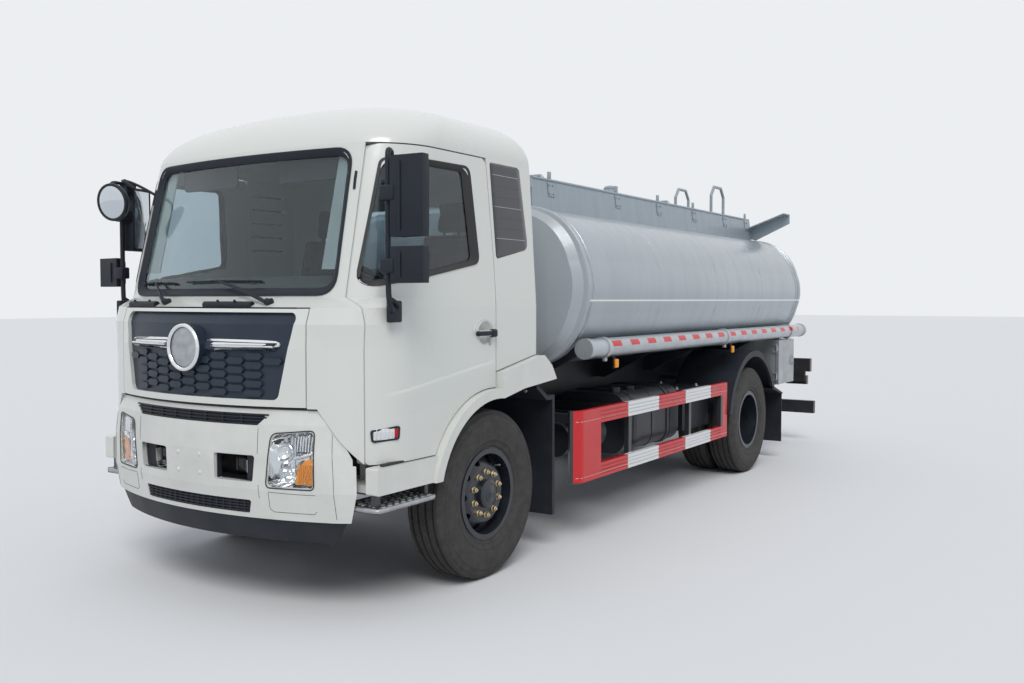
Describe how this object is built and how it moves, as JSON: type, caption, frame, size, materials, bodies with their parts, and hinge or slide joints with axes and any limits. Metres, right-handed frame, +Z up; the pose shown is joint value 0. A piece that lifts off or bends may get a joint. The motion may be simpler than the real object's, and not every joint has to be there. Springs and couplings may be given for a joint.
{
  "type": "two-axle tanker truck",
  "caption": "Forward-control tanker truck: tilting cab, oval tank on a ladder frame, side guards, hose tubes, top walkway coaming and rear ladder.",
  "frame": {"origin": "ground point at the middle of the truck's footprint box", "axes": "+X to the truck's left side, +Y to its rear, +Z up"},
  "size_m": [2.8522, 8.348, 3.081],
  "materials": {
    "cab_paint": "off-white gloss paint",
    "tank_paint": "silver-grey paint",
    "coaming_paint": "grey paint",
    "cabinet_paint": "grey paint",
    "frame_paint": "black chassis paint",
    "engine_paint": "grey enamel on cast iron",
    "guard_paint": "red and white bands",
    "rim_paint": "black wheel paint",
    "tyre": "black rubber",
    "black_plastic": "moulded black plastic",
    "glass": "tinted safety glass",
    "lamp_glass": "clear lamp cover",
    "lamp_red": "red lamp plastic",
    "seat_cloth": "dark seat cloth"
  },
  "bodies": {
    "chassis": {"frame_rails": "frame_paint", "cross_members": "frame_paint", "bumper": "cab_paint", "bumper_lip": "black_plastic", "headlamps": "lamp_glass", "leaf_springs": "frame_paint", "front_axle": "frame_paint", "rear_axle": "frame_paint", "engine": "engine_paint", "driveline": "engine_paint", "radiator": "black_plastic", "side_guards": "guard_paint", "mudguards": "black_plastic", "fuel_tank": "frame_paint", "air_tanks": "frame_paint", "silencer": "frame_paint", "battery_box": "black_plastic", "under_run_bar": "frame_paint", "tail_lamps": "lamp_red", "tank": "tank_paint", "tank_cradle": "frame_paint", "coaming": "coaming_paint", "ladder": "coaming_paint", "hose_tubes": "tank_paint", "valve_cabinet": "cabinet_paint", "discharge_pipe": "frame_paint"},
    "cab": {"cab_floor": "frame_paint", "cab_front": "cab_paint", "cab_side_left": "cab_paint", "cab_side_right": "cab_paint", "cab_rear_wall": "cab_paint", "cab_roof": "cab_paint", "cab_glass": "glass", "dashboard": "black_plastic", "seats": "seat_cloth", "wheel_arches": "cab_paint"},
    "door_left": {"door_left": "cab_paint", "door_glass_left": "glass", "mirror_left": "black_plastic"},
    "door_right": {"door_right": "cab_paint", "door_glass_right": "glass", "mirror_right": "black_plastic"},
    "flap": {"front_flap": "cab_paint", "grille": "black_plastic"},
    "knuckle_left": {"knuckle_left": "frame_paint"},
    "knuckle_right": {"knuckle_right": "frame_paint"},
    "wheel_front_left": {"front_tyre_left": "tyre", "front_rim_left": "rim_paint"},
    "wheel_front_right": {"front_tyre_right": "tyre", "front_rim_right": "rim_paint"},
    "wheel_rear_left": {"rear_tyres_left": "tyre", "rear_rims_left": "rim_paint"},
    "wheel_rear_right": {"rear_tyres_right": "tyre", "rear_rims_right": "rim_paint"},
    "lid_front": {"manhole_lid_front": "coaming_paint"},
    "lid_rear": {"manhole_lid_rear": "coaming_paint"},
    "cabinet_door": {"cabinet_door": "cabinet_paint"}
  },
  "joints": [
    {"name": "cab_tilt", "type": "hinge", "parent": "chassis", "child": "cab", "pos_m": [0, -4.016, 0.82], "axis": [1, 0, 0], "range_deg": [0, 45]},
    {"name": "door_left_swing", "type": "hinge", "parent": "cab", "child": "door_left", "pos_m": [1.055, -3.834, 1.5], "axis": [0, 0, -1], "range_deg": [0, 70]},
    {"name": "door_right_swing", "type": "hinge", "parent": "cab", "child": "door_right", "pos_m": [-1.055, -3.834, 1.5], "axis": [0, 0, 1], "range_deg": [0, 70]},
    {"name": "flap_lift", "type": "hinge", "parent": "cab", "child": "flap", "pos_m": [0, -4.044, 1.69], "axis": [-1, 0, 0], "range_deg": [0, 75]},
    {"name": "steer_left", "type": "hinge", "parent": "chassis", "child": "knuckle_left", "pos_m": [0.9, -2.776, 0.526], "axis": [0, 0, 1], "range_deg": [-35, 35]},
    {"name": "steer_right", "type": "hinge", "parent": "chassis", "child": "knuckle_right", "pos_m": [-0.9, -2.776, 0.526], "axis": [0, 0, 1], "range_deg": [-35, 35]},
    {"name": "wheel_front_left_spin", "type": "hinge", "parent": "knuckle_left", "child": "wheel_front_left", "pos_m": [1.007, -2.776, 0.526], "axis": [1, 0, 0], "continuous": true},
    {"name": "wheel_front_right_spin", "type": "hinge", "parent": "knuckle_right", "child": "wheel_front_right", "pos_m": [-1.007, -2.776, 0.526], "axis": [1, 0, 0], "continuous": true},
    {"name": "wheel_rear_left_spin", "type": "hinge", "parent": "chassis", "child": "wheel_rear_left", "pos_m": [0.934, 1.724, 0.526], "axis": [1, 0, 0], "continuous": true},
    {"name": "wheel_rear_right_spin", "type": "hinge", "parent": "chassis", "child": "wheel_rear_right", "pos_m": [-0.934, 1.724, 0.526], "axis": [1, 0, 0], "continuous": true},
    {"name": "lid_front_lift", "type": "hinge", "parent": "chassis", "child": "lid_front", "pos_m": [0, -0.094, 2.584], "axis": [-1, 0, 0], "range_deg": [0, 100]},
    {"name": "lid_rear_lift", "type": "hinge", "parent": "chassis", "child": "lid_rear", "pos_m": [0, 2.586, 2.584], "axis": [-1, 0, 0], "range_deg": [0, 100]},
    {"name": "cabinet_door_swing", "type": "hinge", "parent": "chassis", "child": "cabinet_door", "pos_m": [1.177, 2.68, 1.049], "axis": [0, 0, -1], "range_deg": [0, 105]}
  ],
  "couplings": [
    {"joint": "steer_right", "follows": "steer_left", "ratio": 1}
  ]
}
